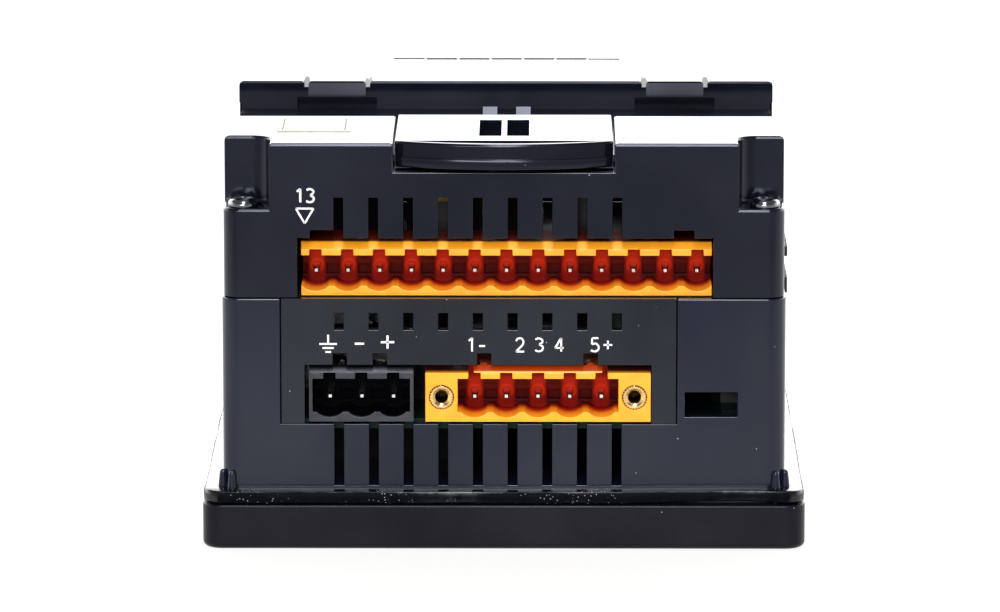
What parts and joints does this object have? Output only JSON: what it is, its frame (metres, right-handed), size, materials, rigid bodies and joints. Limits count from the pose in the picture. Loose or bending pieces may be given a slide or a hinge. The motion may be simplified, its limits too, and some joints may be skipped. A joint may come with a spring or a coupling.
{
  "type": "programmable logic controller",
  "caption": "Square panel-mounted programmable logic controller with display, lying on its bezel: pluggable headers on one side, rail channel and sliding rail latch on its back.",
  "frame": {"origin": "centre of the front bezel's front face, which is the lowest plane of the part as it lies on its face", "axes": "+Z from the front face to the rear; -Y towards the side with the power, bus and input/output headers; +X to the right as that side is looked at"},
  "size_m": [0.0966, 0.0966, 0.0654],
  "materials": {
    "case_plastic": "satin",
    "printed_sheet": "matte",
    "sensor_film": "satin",
    "display_glass": "clear",
    "display_frame": "satin",
    "board_laminate": "satin",
    "gasket_foam": "matte",
    "port_rubber": "matte",
    "zinc_steel": "plated",
    "spring_steel": "bright",
    "brass": "satin",
    "tinned_contact": "bright",
    "header_black": "satin",
    "header_orange": "satin",
    "chip_black": "matte",
    "part_white": "satin",
    "part_yellow": "satin",
    "can_aluminium": "satin",
    "label_paper": "matte"
  },
  "bodies": {
    "controller": {"front_bezel": "case_plastic", "front_overlay": "printed_sheet", "membrane_switch": "sensor_film", "touch_panel": "display_glass", "display_module": "display_frame", "front_board": "board_laminate", "front_board_screws": "zinc_steel", "front_connector": "chip_black", "front_socket": "chip_black", "panel_gasket": "gasket_foam", "main_case": "case_plastic", "case_screws": "zinc_steel", "connector_panel": "case_plastic", "io_cover": "case_plastic", "cover_screws": "zinc_steel", "latch_springs": "spring_steel", "main_board": "board_laminate", "board_spacers": "chip_black", "processor": "chip_black", "memory_chips": "chip_black", "clock_crystal": "can_aluminium", "battery_holder": "chip_black", "backup_battery": "zinc_steel", "power_inductor": "chip_black", "main_capacitors": "can_aluminium", "bus_transceiver": "chip_black", "power_header": "header_black", "power_pins": "tinned_contact", "bus_header": "header_orange", "bus_pins": "tinned_contact", "bus_inserts": "brass", "board_socket": "chip_black", "board_plug": "chip_black", "io_board": "board_laminate", "io_board_screws": "zinc_steel", "io_header": "header_orange", "io_pins": "tinned_contact", "output_relays": "part_white", "input_couplers": "part_white", "relay_driver": "chip_black", "io_capacitors": "can_aluminium", "film_capacitor": "part_yellow", "usb_socket": "zinc_steel", "port_cover": "port_rubber", "rear_label": "label_paper"},
    "latch": {"din_latch": "case_plastic"}
  },
  "joints": [
    {"name": "latch_slide", "type": "slide", "parent": "controller", "child": "latch", "axis": [0, -1, 0], "range_m": [0, 0.0045], "stiffness_N_per_m": 400, "springref_m": -0.004, "deforming": ["latch_springs"]}
  ]
}
